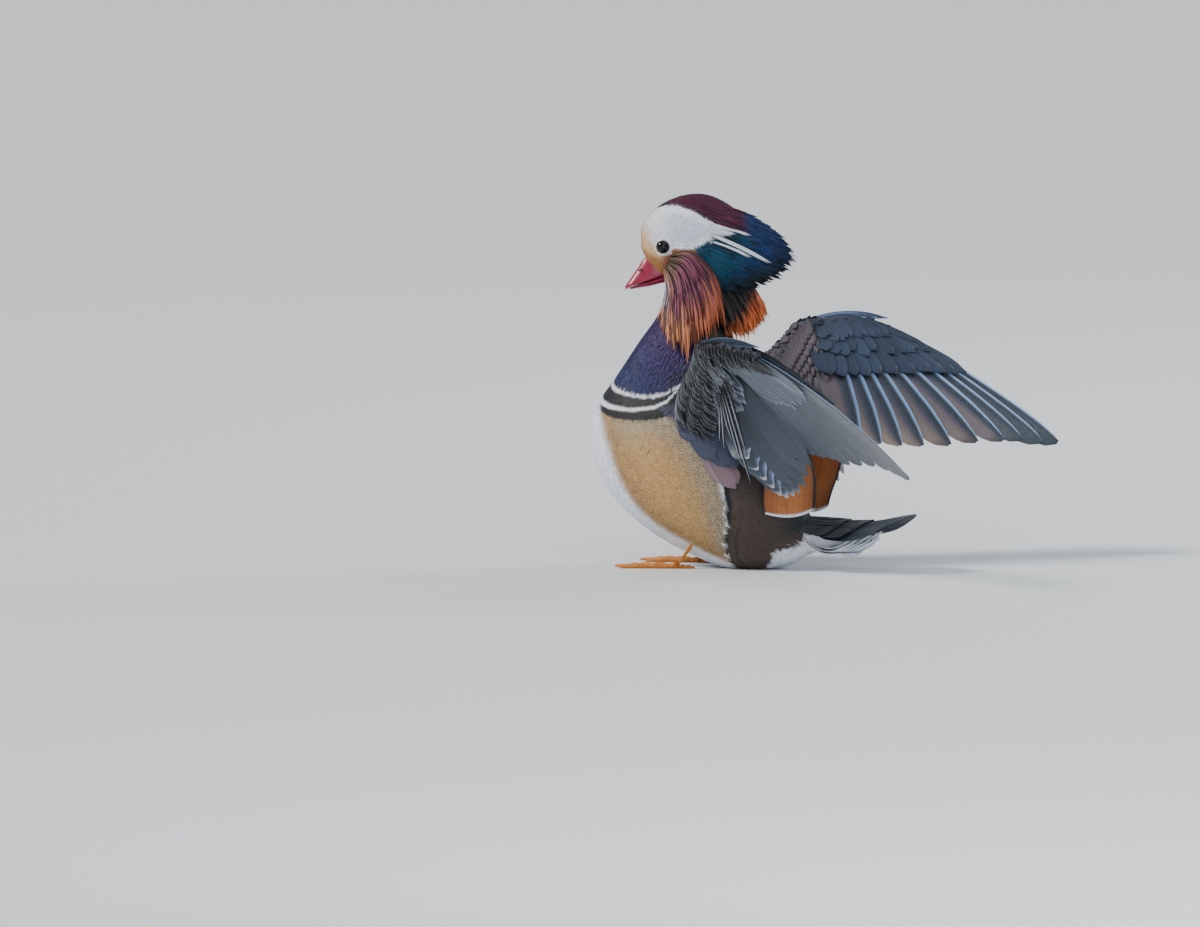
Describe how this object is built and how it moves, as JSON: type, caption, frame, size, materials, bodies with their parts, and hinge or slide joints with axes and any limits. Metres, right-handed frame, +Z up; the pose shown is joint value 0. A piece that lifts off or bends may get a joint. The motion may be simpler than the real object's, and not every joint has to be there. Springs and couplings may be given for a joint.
{
  "type": "mandarin duck drake, still model",
  "caption": "Life-size still model of a mandarin duck drake resting on its belly, chest raised, both wings half spread, crest and sail feathers up.",
  "frame": {"origin": "middle of the belly's flat on the floor", "axes": "+Z up from the floor, -Y the way the breast faces, +X to the bird's left"},
  "size_m": [0.369, 0.3333, 0.2995],
  "materials": {
    "body_plumage": "soft contour feathers, buff flanks and white belly",
    "neck_plumage": "silky violet-blue contour feathers",
    "head_plumage": "silky crest and ruff, white, maroon, teal and orange",
    "bill_horn": "smooth crimson keratin with a pale nail",
    "eye": "wet, dark brown",
    "wing_plumage": "slate-brown vanes with silver-blue outer webs",
    "sail_plumage": "orange-chestnut web with a dark edge",
    "tail_plumage": "dark teal-brown quills over white coverts",
    "foot_skin": "scaled, orange-yellow, dusky webs"
  },
  "bodies": {
    "root": {"torso": "body_plumage", "neck": "neck_plumage", "head": "head_plumage", "eye_left": "eye", "eye_right": "eye", "bill_upper": "bill_horn", "bill_lower": "bill_horn", "tail": "tail_plumage", "wing_arm_left": "wing_plumage", "wing_arm_right": "wing_plumage", "wing_hand_left": "wing_plumage", "wing_hand_right": "wing_plumage", "sail_left": "sail_plumage", "sail_right": "sail_plumage", "leg_left": "foot_skin", "leg_right": "foot_skin", "foot_left": "foot_skin", "foot_right": "foot_skin"}
  },
  "joints": []
}
